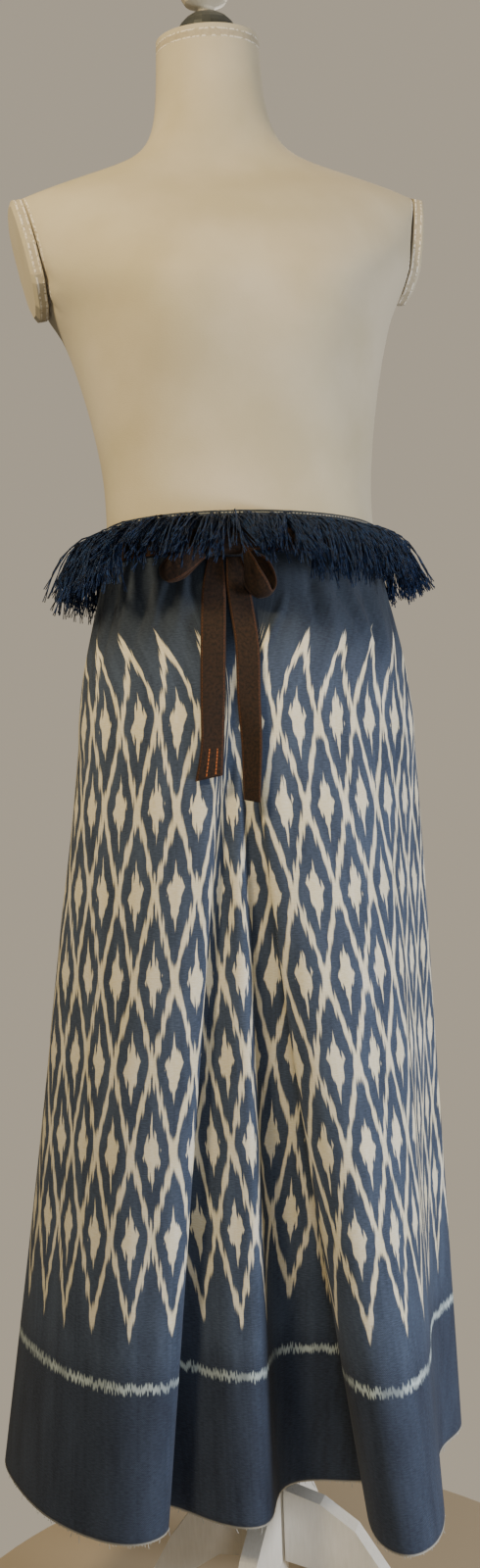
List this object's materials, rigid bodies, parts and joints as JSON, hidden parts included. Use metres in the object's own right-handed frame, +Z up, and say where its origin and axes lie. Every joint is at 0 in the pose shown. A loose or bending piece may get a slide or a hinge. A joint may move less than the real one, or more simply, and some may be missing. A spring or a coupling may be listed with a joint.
{
  "type": "sinh tube skirt on dress form",
  "caption": "Ankle-length woven tube skirt, box-pleated at the front, with a yarn fringe round the waist and a ribbon tie, worn by a limbless dress form on a wooden stand.",
  "frame": {"origin": "centre of the part's box at floor level, 12 mm to the -X side of the stand's post axis", "axes": "+Z up; -Y to the front, where the pleat and the bow are; +X to the skirt's left as worn"},
  "size_m": [0.5338, 0.5098, 1.7622],
  "materials": {
    "ikat_cotton": "matte plain weave",
    "fringe_yarn": "matte yarn",
    "brown_ribbon": "matte ribbon",
    "form_jersey": "matte jersey",
    "cap_enamel": "satin enamel",
    "painted_wood": "satin paint"
  },
  "bodies": {
    "root": {"skirt_tube": "ikat_cotton", "waist_fringe": "fringe_yarn", "tie_band": "brown_ribbon", "tie_knot": "brown_ribbon", "tie_loop_left": "brown_ribbon", "tie_loop_right": "brown_ribbon", "tie_tail_left": "brown_ribbon", "tie_tail_right": "brown_ribbon", "form_torso": "form_jersey", "form_arm_cap_left": "form_jersey", "form_arm_cap_right": "form_jersey", "form_neck_cap": "cap_enamel", "form_knob": "painted_wood", "stand_post": "painted_wood", "stand_leg_1": "painted_wood", "stand_leg_2": "painted_wood", "stand_leg_3": "painted_wood", "stand_leg_4": "painted_wood"}
  },
  "joints": []
}
